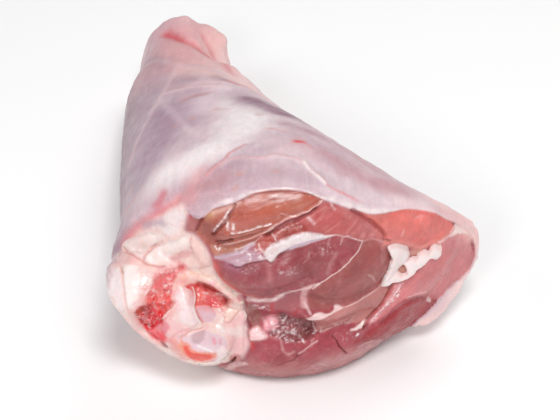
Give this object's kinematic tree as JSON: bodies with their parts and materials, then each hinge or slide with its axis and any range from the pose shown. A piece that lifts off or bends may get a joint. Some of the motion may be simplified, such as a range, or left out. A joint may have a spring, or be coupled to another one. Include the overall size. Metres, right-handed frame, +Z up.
{
  "type": "raw lamb shank",
  "caption": "Raw lamb hind shank lying on its side, tapering from a cut end with bare knuckle, muscles and fat to the hock in silver skin.",
  "frame": {"origin": "middle of the footprint's box, on the table", "axes": "+Y from the cut end back to the hock, +X across the cut from the knuckle to the flank, +Z up"},
  "size_m": [0.1188, 0.1744, 0.0703],
  "materials": {
    "muscle_in_silver_skin": "raw and moist",
    "joint_bone": "wet bone, gristle and knee fat",
    "white_fat": "firm raw fat, satin"
  },
  "bodies": {
    "root": {"meat": "muscle_in_silver_skin", "shank_bone": "joint_bone", "fat_pocket": "white_fat"}
  },
  "joints": []
}
